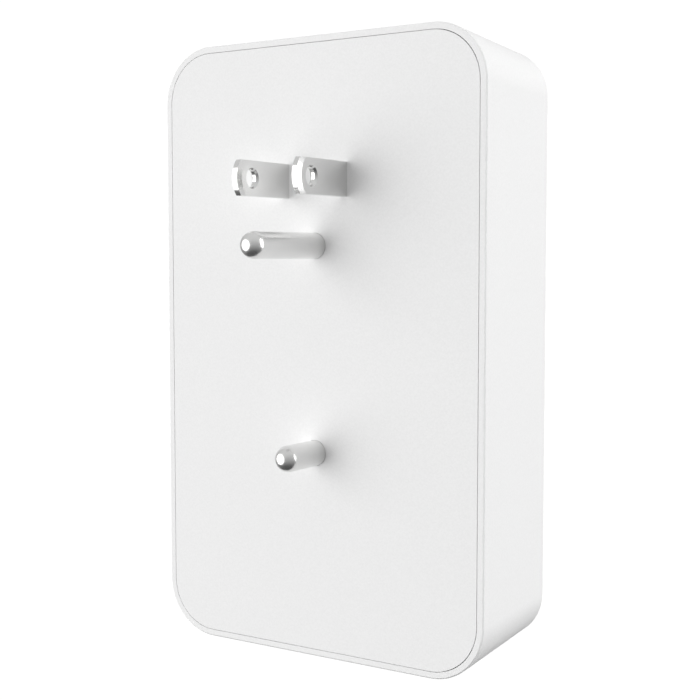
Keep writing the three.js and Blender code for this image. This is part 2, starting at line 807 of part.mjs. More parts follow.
add("power_board", powerBoard(), circuitBoard());
addScrews("power_board_screw", PILLARS, POWER_BOARD_Y[0] - SEAT_GAP, [2.4, 1.1, 8]);
add("display_board", board([-30.4, 30.4], DISPLAY_BOARD_Y, [-33.5, 20.5], DISPLAY_SCREWS), circuitBoard());
addScrews("display_board_screw", DISPLAY_SCREWS, DISPLAY_BOARD_Y[1] + SEAT_GAP, [2, 0.95, 5], true);

const windowOutline = roundedRect(WINDOW_WIDTH, WINDOW_HEIGHT, 3, 0, WINDOW_Z, 6);
const windowFront = -CASE_DEPTH + 0.1;
add("display_window", slab(windowOutline, [windowFront, windowFront + WINDOW_THICK]), finish(0xdfe6e8, 0.08));
add("lcd_glass", block([-24.6, 24.6], GLASS_Y, [-11.8, 17.4]), finish(0x9fae9b, 0.15));
add("lcd_frame", lcdFrame(), chipPlastic());
add("contact_strip", block([-24, 24], [-23.4, -20.3], [-11.6, -9.2]), finish(0x3a3a3c, 0.7));
add("light_guide", block([-24, 24], [-23.4, -20.6], [-8.6, 14]), finish(0xe9f2f4, 0.2));
add("backlight_led", block([-2, 2], [-22.4, -20.3], [14.5, 16.5]), finish(0xf2ead0, 0.4));

KEY_NAMES.forEach((name, i) => {
  add(`${name}_key`, keycap(i), finish(0xd5d8da, 0.5));
  add(`${name}_key_dome`, keyDome(), finish(0xb9bcbe, 0.8)).position.set(keyX(i), DOME_Y[0], KEY_Z);
});

const fuseProfile = [
  [0, -10],
  [2.8, -10],
  [2.8, -5.5],
  [2.5, -5.5],
  [2.5, 5.5],
  [2.8, 5.5],
  [2.8, 10],
  [0, 10],
];
add("fuse", turned(fuseProfile).rotateZ(Math.PI / 2), finish(0xdadfe2, 0.3)).position.set(0, -7.3, 15.5);
add("varistor", rod(5, [-10.3, -6.1], [-18.5, 12.5], 20), finish(0x2f6bb0, 0.5));
add("film_capacitor", block([-21, -3.5], [-10.3, -2.9], [-36, -25]), finish(0xc9a13b, 0.5));
const canister = new THREE.CylinderGeometry(3.6, 3.6, 12, 20).rotateZ(Math.PI / 2);
add("smoothing_capacitor", canister, finish(0x27303c, 0.4)).position.set(12.5, -6.6, -29);
add("bridge_rectifier", block([13.5, 21], [-10.3, -7.7], [8.5, 15.5]), chipPlastic());
add("supply_regulator", block([6, 11], [-10.3, -8.7], [-23.6, -19.6]), chipPlastic());
const cell = new THREE.CylinderGeometry(3.5, 3.5, 14, 20).rotateX(Math.PI / 2);
add("backup_cell", cell, finish(0x7fae4a, 0.5)).position.set(24, -6.6, -12);
add("metering_chip", block([-17.5, -7.5], [-14.3, -12.5], [-17, -11]), chipPlastic());
add("shunt", shuntStrip(), finish(0xb08a5e, 0.4, 1)).position.set(17.5, POWER_BOARD_Y[0] - SEAT_GAP, -24);
add("board_header", block([-8, 8], [-15, -12.5], [6.5, 10.5]), chipPlastic());
add("board_socket", block([-8, 8], [-18.1, -15.3], [6.5, 10.5]), chipPlastic());
add("controller_chip", block([8, 18], [-18.1, -16.6], [-12, -2]), chipPlastic());

add("line_wire", liveWire(1), finish(0x1d1d1f, 0.5));
add("neutral_wire", liveWire(-1), finish(0xe8e8e6, 0.5));
add("ground_wire", groundWire(), finish(0x2f9a4f, 0.5));

export default meter;
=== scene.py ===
"""Looks of the plug-in power meter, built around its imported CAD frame.

Shapes and places are in millimetres, in the CAD's own frame (+Z up, +Y out of the back towards the wall),
and skin() turns them into metres. Materials work in metres: a noise scale is a number of waves in a metre.
"""

import json
import math

import bmesh
import bpy
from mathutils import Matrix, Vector


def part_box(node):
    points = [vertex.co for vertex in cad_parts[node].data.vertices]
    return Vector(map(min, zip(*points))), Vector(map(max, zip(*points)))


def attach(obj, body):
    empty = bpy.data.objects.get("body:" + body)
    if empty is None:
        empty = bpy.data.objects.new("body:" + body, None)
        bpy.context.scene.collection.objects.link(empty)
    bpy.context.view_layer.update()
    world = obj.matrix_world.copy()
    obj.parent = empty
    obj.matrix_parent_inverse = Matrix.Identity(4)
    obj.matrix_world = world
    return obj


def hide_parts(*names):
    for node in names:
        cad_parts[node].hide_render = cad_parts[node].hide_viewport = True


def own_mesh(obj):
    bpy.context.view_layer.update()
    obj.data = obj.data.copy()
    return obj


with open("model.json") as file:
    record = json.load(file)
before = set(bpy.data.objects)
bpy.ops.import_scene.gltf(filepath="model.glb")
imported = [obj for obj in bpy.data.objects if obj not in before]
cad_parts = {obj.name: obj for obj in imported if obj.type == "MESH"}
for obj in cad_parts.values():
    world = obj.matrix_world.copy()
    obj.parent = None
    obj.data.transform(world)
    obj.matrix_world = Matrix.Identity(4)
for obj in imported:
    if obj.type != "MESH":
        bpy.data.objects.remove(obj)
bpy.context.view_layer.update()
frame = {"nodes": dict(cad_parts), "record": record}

MM = 0.001

# ---- sizes repeated from the CAD model ----

CASE_CORNER = 10.5
CASE_DRAFT = 1.5  # how far each side leans in between the back and the front
RIM = 1.26  # housing rim that shows round the rear cover
COVER_THICK = 2.0
LEDGE_GAP = 0.3  # from the rear cover to the housing's ledge behind it
WALL = 2.2
BLADE_SPACING = 12.7
BLADE_THICK = 1.52
BLADE_WIDTH = 6.3
BLADE_BEVEL = 1.12
BLADE_LENGTH = 15.4
BLADE_CORNER_DROP = 1.2  # how far the tip's arc falls back at its ends
BEVEL_EXTRA_DROP = 0.25  # how much further it does at the back of the bevel
BLADE_HOLE_RADIUS = 1.55
BLADE_HOLE_FLARE = 0.3  # what the countersink adds to the radius
BLADE_HOLE_SINK = 0.42
BLADE_HOLE_Y = 11.2
TAIL_WIDTH = 4.0
SHOULDER_WIDTH = 8.6
SHOULDER_Y = (-3.6, -2.3)
PIN_RADIUS = 2.38
FLANGE_RADIUS = 3.8
TAIL_RADIUS = 1.5

WINDOW_SIZE = (50.0, 28.0)
WINDOW_Z = 3.0
WINDOW_CORNER = 3.0
WINDOW_GAP = 0.15
WINDOW_RECESS = 1.2
WINDOW_LEDGE = 2.2
KEY_NAMES = ("mode", "down", "up", "reset")
KEY_PITCH = 13.0
KEY_Z = -24.5
KEY_WIDTH = 9.4
KEY_HEIGHT = 6.4
KEY_PROUD = 0.8  # how far a keycap stands out of the front
KEY_FLANGE = 0.9  # how far the flange behind it reaches past the cap
KEY_FLANGE_Y = WALL + 1.3  # from the front to the flange's back
SOCKET_BLADE_Z = -57.0
SOCKET_CENTRE_Z = SOCKET_BLADE_Z - 5
SOCKET_GROUND_Z = SOCKET_BLADE_Z - 11.86
SOCKET_RADIUS = 17.1
SOCKET_HALF_HEIGHT = 14.3
SOCKET_GAP = 0.2
SOCKET_FLANGE = 1.5
SOCKET_FLANGE_THICK = 1.4
SLOT_WIDTH = 2.1
LINE_SLOT_HEIGHT = 6.9
NEUTRAL_SLOT_HEIGHT = 8.5
GROUND_HOLE_RADIUS = 2.75


def box_mm(node):
    """A CAD node's lowest and highest corners in millimetres."""
    low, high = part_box(node)
    return low / MM, high / MM


case_low, case_high = box_mm("front_housing")
CASE_WIDTH = case_high.x - case_low.x
CASE_HEIGHT = case_high.z - case_low.z
CASE_DEPTH = case_high.y - case_low.y
CASE_CENTRE_Z = (case_high.z + case_low.z) / 2
FRONT_Y = -CASE_DEPTH

# ---- finer sizes, which only this script has ----

COVER_GAP_X = 0.105  # hairline between rim and cover along the long sides
COVER_GAP_Z = 0.08  # the same along the short ones
COVER_ROUNDER = 0.12  # how much larger the cover's corner radius is on the -X side
REAR_EDGE = 0.25  # narrow flat where the rim meets the sides
FRONT_EDGE = 0.9
HAIRLINE_EDGE = 0.03  # rounding of the rim and of the cover along the hairline
MOUTH_EDGE = 0.35  # rounding round the key holes and the outlet
WINDOW_MOUTH_EDGE = 0.3
WINDOW_EDGE = 0.2
BORDER_INSET = 3.4  # width of the dark print round the window's clear part
BLADE_CORES = {-1: 0.94, 1: 1.04}  # thickness left at the tip of the neutral and the line blade
BLADE_EDGE = 0.06
BLADE_GRIP = 0.02  # how far the cover closes in on a blade
PIN_GAP = 0.025  # from a pin to the cover
MARK_DEPTH = 0.3  # how deep a mark is sunk into its keycap
MARK_PAINT_DEPTHS = (0.22, 0.29)  # the paint's face and back, from the keycap's top
MARK_GAP = 0.02  # taken off the paint's width, so that it clears the mark's sides
OVERRUN = 1  # how far a tool runs past what it cuts

# ---- outlines and solids ----

CORNER_STEPS = 20
ROUND_STEPS = 64
SHARP_ABOVE = 35.0  # degrees between faces from which an edge stays sharp


def rounded_rect(width, height, radius, centre=(0.0, 0.0), steps=CORNER_STEPS):
    """Points of a rounded rectangle in the XZ plane, as (x, z) pairs."""
    points = []
    for corner in range(4):
        side_x = 1 if corner in (0, 3) else -1
        side_z = 1 if corner < 2 else -1
        for i in range(steps + 1):
            angle = (corner + i / steps) * math.pi / 2
            x = centre[0] + side_x * (width / 2 - radius) + radius * math.cos(angle)
            z = centre[1] + side_z * (height / 2 - radius) + radius * math.sin(angle)
            points.append((x, z))
    return points


def case_ring(inset, y):
    """The case outline at depth y, moved in by inset, as points in space."""
    shrink = inset + CASE_DRAFT * -y / CASE_DEPTH
    outline = rounded_rect(
        CASE_WIDTH - 2 * shrink,
        CASE_HEIGHT - 2 * shrink,
        CASE_CORNER - shrink,
        (0.0, CASE_CENTRE_Z),
    )
    return [(x, y, z) for x, z in outline]


def plate_ring(inset, y):
    """The outline at the back of the case moved in by inset, with no lean."""
    outline = rounded_rect(
        CASE_WIDTH - 2 * inset,
        CASE_HEIGHT - 2 * inset,
        CASE_CORNER - inset,
        (0.0, CASE_CENTRE_Z),
    )
    return [(x, y, z) for x, z in outline]


def add_shell(build, rings):
    """Adds a closed surface through rings of points; an end ring is a cap, or a pole if it is one point."""
    rows = [[build.verts.new(Vector(p) * MM) for p in ring] for ring in rings]
    for near, far in zip(rows, rows[1:]):
        for i in range(max(len(near), len(far))):
            corners = [
                near[i % len(near)],
                near[(i + 1) % len(near)],
                far[(i + 1) % len(far)],
                far[i % len(far)],
            ]
            build.faces.new(list(dict.fromkeys(corners)))
    for row in (rows[0], rows[-1]):
        if len(row) > 1:
            build.faces.new(row)


def skin(name, *shells):
    """An object made of one or more closed shells, each given as rings of points in millimetres."""
    build = bmesh.new()
    for rings in shells:
        add_shell(build, rings)
    bmesh.ops.recalc_face_normals(build, faces=build.faces)
    mesh = bpy.data.meshes.new(name)
    build.to_mesh(mesh)
    build.free()
    made = bpy.data.objects.new(name, mesh)
    bpy.context.scene.collection.objects.link(made)
    return made


def levels_of(outline, levels):
    """Rings at each (grow, y) of levels; outline(grow) gives an outline's (x, z) pairs moved out by grow."""
    return [[(x, y, z) for x, z in outline(grow)] for grow, y in levels]


def plates(name, outlines, y_range):
    """Flat plates with the given outlines, all between the same two depths, as one object."""
    return skin(name, *[[[(x, y, z) for x, z in outline] for y in y_range] for outline in outlines])


def turned(name, profile, centre, steps=ROUND_STEPS):
    """A turned solid about a line along Y through centre (x, z), from (radius, y) pairs."""
    x, z = centre
    turn = [2 * math.pi * i / steps for i in range(steps)]
    rings = []
    for radius, y in profile:
        if radius == 0:
            rings.append([(x, y, z)])
        else:
            rings.append([(x + radius * math.cos(a), y, z + radius * math.sin(a)) for a in turn])
    return skin(name, rings)


def cut(base, *tools):
    """Cuts each tool out of base and deletes it."""
    for tool in tools:
        modifier = base.modifiers.new("cut", "BOOLEAN")
        modifier.operation = "DIFFERENCE"
        modifier.solver = "EXACT"
        modifier.object = tool
        bpy.context.view_layer.update()
        evaluated = base.evaluated_get(bpy.context.evaluated_depsgraph_get())
        mesh = bpy.data.meshes.new_from_object(evaluated)
        base.modifiers.clear()
        base.data = mesh
        bpy.data.objects.remove(tool)


def square(x, z, width, height):
    """A rectangle's outline round a middle point."""
    return [(x + i * width / 2, z + j * height / 2) for i, j in ((-1, -1), (1, -1), (1, 1), (-1, 1))]


def smooth(made, sharp_above):
    """Smooth shading, with the edges above an angle left sharp and flat faces kept flat."""
    made.data.shade_smooth()
    made.data.set_sharp_from_angle(angle=math.radians(sharp_above))
    modifier = made.modifiers.new("flat_faces_stay_flat", "WEIGHTED_NORMAL")
    modifier.keep_sharp = True
    modifier.weight = 100


def quarter_round(radius, steps=4):
    """(across, along) pairs of a rounded edge, from (0, radius) to (radius, 0)."""
    turns = [math.pi / 2 * i / steps for i in range(steps + 1)]
    return [(radius * (1 - math.cos(t)), radius * (1 - math.sin(t))) for t in turns]


# ---- materials ----

TILT = (0.4, 0.7, 0.3)  # turns a pattern, in radians, off the case's own directions
UNTURNED = (0.0, 0.0, 0.0)


def new_material(name):
    material = bpy.data.materials.new(name)
    material.use_nodes = True
    tree = material.node_tree
    return material, tree, tree.nodes["Principled BSDF"]


def add_node(tree, kind, **values):
    """A shader node with its properties and, by input name or number, its input values set."""
    node = tree.nodes.new(kind)
    for key, value in values.get("props", {}).items():
        setattr(node, key, value)
    for key, value in values.get("inputs", {}).items():
        node.inputs[key].default_value = value
    return node


def place_coordinates(tree, scale=(1.0, 1.0, 1.0), turn=TILT):
    """Object coordinates, turned and then scaled along each axis."""
    place = add_node(tree, "ShaderNodeTexCoord")
    mapping = add_node(tree, "ShaderNodeMapping", inputs={"Scale": scale, "Rotation": turn})
    tree.links.new(place.outputs["Object"], mapping.inputs["Vector"])
    return mapping.outputs["Vector"]


def noise(tree, vector, scale, detail=2.0, roughness=0.5):
    inputs = {"Scale": scale, "Detail": detail, "Roughness": roughness}
    node = add_node(tree, "ShaderNodeTexNoise", inputs=inputs)
    tree.links.new(vector, node.inputs["Vector"])
    return node.outputs["Fac"]


def remap(tree, value, low, high):
    """A noise value spread between low and high."""
    inputs = {"From Min": 0.3, "From Max": 0.7, "To Min": low, "To Max": high}
    node = add_node(tree, "ShaderNodeMapRange", inputs=inputs)
    tree.links.new(value, node.inputs["Value"])
    return node.outputs["Result"]


def tint(tree, value, dark, light):
    """A colour between dark and light."""
    node = add_node(tree, "ShaderNodeMix", props={"data_type": "RGBA"})
    node.inputs["A"].default_value = (*dark, 1)
    node.inputs["B"].default_value = (*light, 1)
    tree.links.new(value, node.inputs["Factor"])
    return node.outputs["Result"]


def add_bump(tree, shader, height, distance):
    bump = add_node(tree, "ShaderNodeBump", inputs={"Distance": distance, "Strength": 1.0})
    tree.links.new(height, bump.inputs["Height"])
    tree.links.new(bump.outputs["Normal"], shader.inputs["Normal"])


def moulded_plastic(name, dark, light, roughness=(0.42, 0.5)):
    """Matte moulded plastic: fine spark-eroded grain, slow drift in gloss."""
    material, tree, shader = new_material(name)
    where = place_coordinates(tree)
    speckle = remap(tree, noise(tree, where, 2600.0, detail=1.0), 0.0, 1.0)
    tree.links.new(tint(tree, speckle, dark, light), shader.inputs["Base Color"])
    gloss = remap(tree, noise(tree, where, 700.0), *roughness)
    tree.links.new(gloss, shader.inputs["Roughness"])
    add_bump(tree, shader, noise(tree, where, 3200.0, detail=3.0), 16e-6)
    shader.inputs["Specular IOR Level"].default_value = 0.4
    return material


def plated_metal(name, dark, light, roughness=(0.19, 0.25), streak=(1.0, 0.06, 1.0)):
    """Satin plated metal: slow drift in tone, and faint lines drawn out along the axis of small streak."""
    material, tree, shader = new_material(name)
    shader.inputs["Metallic"].default_value = 1.0
    where = place_coordinates(tree)
    lines = place_coordinates(tree, streak, UNTURNED)
    drift = remap(tree, noise(tree, where, 160.0), 0.0, 1.0)
    tree.links.new(tint(tree, drift, dark, light), shader.inputs["Base Color"])
    gloss = remap(tree, noise(tree, lines, 2600.0), *roughness)
    tree.links.new(gloss, shader.inputs["Roughness"])
    add_bump(tree, shader, noise(tree, lines, 5200.0), 0.1e-6)
    return material


def coloured(name, dark, light, roughness, scale, grain, levels=None):
    """A surface with uneven colour and gloss at one scale, finer bumps and fixed values for the rest."""
    material, tree, shader = new_material(name)
    where = place_coordinates(tree)
    patches = remap(tree, noise(tree, where, scale, detail=3.0), 0.0, 1.0)
    tree.links.new(tint(tree, patches, dark, light), shader.inputs["Base Color"])
    gloss = remap(tree, noise(tree, where, scale * 2.3), *roughness)
    tree.links.new(gloss, shader.inputs["Roughness"])
    add_bump(tree, shader, noise(tree, where, scale * 3.1, detail=3.0), grain)
    for key, value in (levels or {}).items():
        shader.inputs[key].default_value = value
    return material


def clear_plate(name):
    """Clear polished acrylic with the faint waviness of a moulding."""
    material, tree, shader = new_material(name)
    where = place_coordinates(tree)
    gloss = remap(tree, noise(tree, where, 90.0), 0.015, 0.03)
    tree.links.new(gloss, shader.inputs["Roughness"])
    add_bump(tree, shader, noise(tree, where, 40.0), 2e-6)
    shader.inputs["Base Color"].default_value = (0.96, 0.975, 0.98, 1)
    shader.inputs["Transmission Weight"].default_value = 1.0
    shader.inputs["IOR"].default_value = 1.49
    return material


def printed_circuit(name):
    """Green solder mask over copper tracks that run square to each other."""
    material, tree, shader = new_material(name)
    where = place_coordinates(tree, turn=(math.pi / 2, 0.0, 0.0))
    inputs = {"Scale": 260.0, "Mortar Size": 0.05, "Brick Width": 0.9, "Row Height": 0.32, "Bias": -0.2}
    tracks = add_node(tree, "ShaderNodeTexBrick", inputs=inputs)
    tree.links.new(where, tracks.inputs["Vector"])
    tracks.inputs["Color1"].default_value = (0.012, 0.12, 0.055, 1)
    tracks.inputs["Color2"].default_value = (0.02, 0.17, 0.08, 1)
    tracks.inputs["Mortar"].default_value = (0.06, 0.3, 0.14, 1)
    tree.links.new(tracks.outputs["Color"], shader.inputs["Base Color"])
    gloss = remap(tree, noise(tree, where, 500.0), 0.22, 0.34)
    tree.links.new(gloss, shader.inputs["Roughness"])
    add_bump(tree, shader, tracks.outputs["Fac"], 30e-6)
    return material


def grey(level):
    return (level, level, level)


NICKEL_DARK, NICKEL_LIGHT = (0.77, 0.77, 0.765), (0.8, 0.8, 0.795)

MATERIALS = {
    "white_plastic": moulded_plastic("white_plastic", grey(0.852), grey(0.884)),
    "plated_brass": plated_metal("plated_brass", NICKEL_DARK, NICKEL_LIGHT, (0.17, 0.2)),
    "inner_plastic": moulded_plastic("inner_plastic", (0.74, 0.72, 0.65), (0.8, 0.78, 0.71), (0.5, 0.6)),
    "contact_brass": plated_metal("contact_brass", (0.74, 0.57, 0.27), (0.82, 0.67, 0.36)),
    "steel": plated_metal("steel", grey(0.56), grey(0.68), (0.28, 0.4), (1.0, 1.0, 1.0)),
    "circuit_board": printed_circuit("circuit_board"),
    "black_plastic": moulded_plastic("black_plastic", grey(0.018), grey(0.026), (0.5, 0.6)),
    "window_clear": clear_plate("window_clear"),
    "key_plastic": moulded_plastic("key_plastic", (0.4, 0.415, 0.43), (0.44, 0.455, 0.47), (0.5, 0.58)),
    "shunt_alloy": plated_metal("shunt_alloy", (0.5, 0.38, 0.25), (0.6, 0.47, 0.33), (0.3, 0.42)),
}
# Dark and light colour, roughness range, noise scale, bump height and fixed inputs of each further slot
COLOURED = {
    "lcd": ((0.36, 0.4, 0.33), (0.39, 0.43, 0.36), (0.3, 0.36), 900.0, 0.3e-6),
    "silicone": (grey(0.46), grey(0.52), (0.6, 0.75), 1200.0, 10e-6),
    "light_guide": (
        (0.84, 0.89, 0.9), (0.9, 0.94, 0.95), (0.12, 0.2), 400.0, 3e-6, {"Transmission Weight": 0.5}
    ),
    "led": ((0.86, 0.78, 0.5), (0.94, 0.88, 0.62), (0.25, 0.35), 1500.0, 4e-6),
    "capacitor_yellow": ((0.64, 0.46, 0.1), (0.72, 0.53, 0.13), (0.25, 0.35), 700.0, 10e-6),
    "varistor_blue": ((0.05, 0.2, 0.46), (0.08, 0.27, 0.55), (0.2, 0.32), 500.0, 40e-6),
    "cell_sleeve": ((0.25, 0.48, 0.12), (0.3, 0.54, 0.16), (0.18, 0.28), 350.0, 10e-6),
    "fuse_ceramic": ((0.76, 0.78, 0.78), (0.84, 0.86, 0.86), (0.14, 0.24), 600.0, 6e-6),
    "wire_black": (grey(0.02), grey(0.035), (0.4, 0.55), 900.0, 10e-6),
    "wire_white": (grey(0.76), grey(0.82), (0.4, 0.55), 900.0, 10e-6),
    "wire_green": ((0.04, 0.34, 0.12), (0.06, 0.42, 0.16), (0.4, 0.55), 900.0, 10e-6),
}
for slot, values in COLOURED.items():
    MATERIALS[slot] = coloured(slot, *values)

TURNED_BRASS = plated_metal(
    "turned_brass", NICKEL_DARK, (0.81, 0.81, 0.805), (0.22, 0.25), (0.3, 1.0, 0.3)
)
DISPLAY_DARK = coloured("display_dark", grey(0.018), grey(0.026), (0.3, 0.4), 2000.0, 1e-6)
DISPLAY_FAINT = coloured(
    "display_faint", (0.3, 0.335, 0.275), (0.32, 0.355, 0.29), (0.3, 0.36), 2000.0, 1e-6
)
MARK_PAINT = coloured("mark_paint", grey(0.1), grey(0.13), (0.45, 0.55), 2500.0, 4e-6)
BORDER_PRINT = coloured(  # bonded to the window's back, so it has no gloss of its own
    "border_print", grey(0.035), grey(0.045), (0.4, 0.5), 2500.0, 0.1e-6, {"Specular IOR Level": 0.0}
)


def finish_piece(piece, body, slot, node=None, material=None, sharp_above=SHARP_ABOVE):
    """Gives a piece its shading, material and body, and puts it in place of a CAD node if one is named."""
    smooth(piece, sharp_above)
    piece.data.materials.clear()
    piece.data.materials.append(material or MATERIALS[slot])
    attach(piece, body)
    if node:
        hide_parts(node)


# ---- case ----


def mouth_tool(outline, inner_y, edge):
    """A cutter along Y that leaves a rounded edge where it breaks through the front."""
    levels = [(0, inner_y)]
    levels += [(across, FRONT_Y + along) for across, along in quarter_round(edge)]
    levels += [(edge, FRONT_Y - OVERRUN)]
    return skin("tool", levels_of(outline, levels))


def window_outline(grow):
    smallest_corner = 0.8
    width, height = (size + 2 * grow for size in WINDOW_SIZE)
    radius = max(WINDOW_CORNER + grow, smallest_corner)
    return rounded_rect(width, height, radius, (0, WINDOW_Z), steps=10)


def key_outline(x):
    """The outline of the key at x, with all but round ends, as a function of how much it grows."""

    def outline(grow):
        height = KEY_HEIGHT + 2 * grow
        return rounded_rect(KEY_WIDTH + 2 * grow, height, height / 2 - 0.01, (x, KEY_Z), steps=16)

    return outline


def socket_outline(grow):
    """Half of a duplex outlet: a circle with a flat top and bottom."""
    radius = SOCKET_RADIUS + grow
    reach = math.asin((SOCKET_HALF_HEIGHT + grow) / radius)
    steps = 40
    turns = [side + reach * (2 * i / steps - 1) for side in (0, math.pi) for i in range(steps + 1)]
    return [(radius * math.cos(a), SOCKET_CENTRE_Z + radius * math.sin(a)) for a in turns]


def key_x(index):
    return (index - (len(KEY_NAMES) - 1) / 2) * KEY_PITCH


def build_housing():
    ledge = -COVER_THICK - LEDGE_GAP
    rings = [case_ring(along, FRONT_Y + across) for across, along in quarter_round(FRONT_EDGE, 8)]
    rings += [case_ring(across, -along) for across, along in quarter_round(REAR_EDGE, 1)]
    rings += [plate_ring(RIM - along, -across) for across, along in quarter_round(HAIRLINE_EDGE, 2)]
    rings += [plate_ring(RIM, ledge), case_ring(WALL, ledge), case_ring(WALL, FRONT_Y + WALL)]
    shell = skin("housing_shell", rings)
    inside = FRONT_Y + WALL + OVERRUN / 2
    recess = mouth_tool(
        lambda grow: window_outline(grow + WINDOW_GAP), FRONT_Y + WINDOW_RECESS, WINDOW_MOUTH_EDGE
    )
    view = plates("tool", [window_outline(-WINDOW_LEDGE)], (FRONT_Y, inside))
    key_holes = [mouth_tool(key_outline(key_x(i)), inside, MOUTH_EDGE) for i in range(len(KEY_NAMES))]
    outlet = mouth_tool(lambda grow: socket_outline(grow + SOCKET_GAP), inside, MOUTH_EDGE)
    cut(shell, recess, view, *key_holes, outlet)
    return shell


def cover_ring(inset, y):
    """The cover's outline moved in by inset; its corners on the -X side are rounder than the rim's."""
    width = CASE_WIDTH - 2 * (RIM + COVER_GAP_X + inset)
    height = CASE_HEIGHT - 2 * (RIM + COVER_GAP_Z + inset)
    corner = CASE_CORNER - RIM - COVER_GAP_X - inset
    usual, rounder = (
        rounded_rect(width, height, radius, (0.0, CASE_CENTRE_Z))
        for radius in (corner, corner + COVER_ROUNDER)
    )
    return [(p[0], y, p[1]) if p[0] > 0 else (q[0], y, q[1]) for p, q in zip(usual, rounder)]


def build_cover():
    """The rear cover, with slots for the blades and round holes for the pins."""
    rings = [cover_ring(0, -COVER_THICK)]
    rings += [cover_ring(across, -along) for across, along in quarter_round(HAIRLINE_EDGE, 2)]
    cover = skin("rear_plate", rings)
    through = (-COVER_THICK - OVERRUN, OVERRUN)
    for side in (-1, 1):
        width, height = BLADE_THICK - 2 * BLADE_GRIP, BLADE_WIDTH - 2 * BLADE_GRIP
        slot = square(side * BLADE_SPACING / 2, 0, width, height)
        cut(cover, plates("tool", [slot], through))
    for node in ("ground_pin", "retaining_pin"):
        cut(cover, turned("tool", [(PIN_RADIUS + PIN_GAP, y) for y in through], pin_centre(node)))
    return cover


# ---- plug ----


def blade_outline(set_back, inset):
    """A blade's outline as (y, z) pairs: tail, shoulders and a tip on an arc, set back by set_back."""
    half = BLADE_WIDTH / 2
    drop = BLADE_CORNER_DROP + BEVEL_EXTRA_DROP * set_back / BLADE_BEVEL
    radius = (half**2 + drop**2) / (2 * drop)
    low, high = SHOULDER_Y
    tail_end = box_mm("line_blade")[0].y
    points = []
    steps = 28
    for i in range(steps + 1):
        z = (half - inset) * (2 * i / steps - 1)
        points.append((BLADE_LENGTH - set_back - radius + math.sqrt(radius**2 - z**2), z))
    upper = [
        (high, half - inset),
        (high, SHOULDER_WIDTH / 2 - inset),
        (low, SHOULDER_WIDTH / 2 - inset),
        (low, TAIL_WIDTH / 2 - inset),
        (tail_end, TAIL_WIDTH / 2 - inset),
    ]
    return points + upper + [(y, -z) for y, z in reversed(upper)]


def build_blade(name, side):
    """A blade as layers of its outline across its thickness, with a bevelled tip and soft long edges."""
    x = side * BLADE_SPACING / 2
    flat = BLADE_THICK / 2
    core = BLADE_CORES[side] / 2
    shoulder = BLADE_BEVEL - BLADE_EDGE * BLADE_BEVEL / (flat - core)
    layers = [
        (-flat, BLADE_BEVEL, BLADE_EDGE),
        (-flat + BLADE_EDGE, shoulder, 0.0),
        (-core, 0.0, 0.0),
        (core, 0.0, 0.0),
        (flat - BLADE_EDGE, shoulder, 0.0),
        (flat, BLADE_BEVEL, BLADE_EDGE),
    ]
    rings = [[(x + at, y, z) for y, z in blade_outline(back, inset)] for at, back, inset in layers]
    blade = skin(name, rings)
    cut(blade, hole_tool(x))
    return blade


def hole_tool(x):
    """The drill for a blade's hole, along X, with a small countersink on both faces."""
    flat = BLADE_THICK / 2
    over = 0.2
    wide = BLADE_HOLE_RADIUS + BLADE_HOLE_FLARE * (1 + over / BLADE_HOLE_SINK)
    profile = [
        (wide, -flat - over),
        (BLADE_HOLE_RADIUS, -flat + BLADE_HOLE_SINK),
        (BLADE_HOLE_RADIUS, flat - BLADE_HOLE_SINK),
        (wide, flat + over),
    ]
    steps = 56
    turns = [2 * math.pi * i / steps for i in range(steps)]
    rings = []
    for radius, at in profile:
        rings.append([(x + at, BLADE_HOLE_Y + radius * math.cos(a), radius * math.sin(a)) for a in turns])
    return skin("tool", rings)


def pin_centre(node):
    low, high = box_mm(node)
    return (0.0, (low.z + high.z) / 2)


def build_pin(name, node, has_tail):
    """A turned pin with a round tip and a flange behind the cover."""
    low, high = box_mm(node)
    flange_low, flange_high = SHOULDER_Y
    tail_edge, flange_edge = 0.2, 0.1
    profile = [(0, low.y)]
    if has_tail:
        profile += [(TAIL_RADIUS - tail_edge, low.y), (TAIL_RADIUS, low.y + tail_edge)]
        profile += [(TAIL_RADIUS, flange_low)]
    profile += [
        (FLANGE_RADIUS - flange_edge, flange_low),
        (FLANGE_RADIUS, flange_low + flange_edge),
        (FLANGE_RADIUS, flange_high - flange_edge),
        (FLANGE_RADIUS - flange_edge, flange_high),
        (PIN_RADIUS, flange_high),
    ]
    steps = 20
    for i in range(steps + 1):
        turn = math.pi / 2 * i / steps
        radius = 0 if i == steps else PIN_RADIUS * math.cos(turn)
        profile.append((radius, high.y - PIN_RADIUS * (1 - math.sin(turn))))
    return turned(name, profile, pin_centre(node))


# ---- front ----


def build_window():
    """A clear plate in the front's recess, with a fine bevel round its face."""
    low, high = box_mm("display_window")
    levels = [(0, high.y)] + [(-across, low.y + along) for across, along in quarter_round(WINDOW_EDGE)]
    return skin("window_plate", levels_of(window_outline, levels))


def build_window_border():
    """The dark print on the back of the window, round its clear part."""
    back = box_mm("display_window")[1].y
    gap, thick = 0.01, 0.05
    border = plates("window_border", [window_outline(-WINDOW_EDGE)], (back + gap, back + gap + thick))
    cut(border, plates("tool", [window_outline(-BORDER_INSET)], (back - OVERRUN, back + OVERRUN)))
    return border


# Each bar of a seven-bar digit one unit wide and two high: its middle, and whether it stands upright
DIGIT_BARS = {
    "top": (0.5, 2.0, False),
    "upper_right": (1.0, 1.5, True),
    "lower_right": (1.0, 0.5, True),
    "bottom": (0.5, 0.0, False),
    "lower_left": (0.0, 0.5, True),
    "upper_left": (0.0, 1.5, True),
    "middle": (0.5, 1.0, False),
}
DIGIT_SLANT = 0.08
BAR_SHORTENING = 0.06  # what each end of a bar gives up, as a share of its length
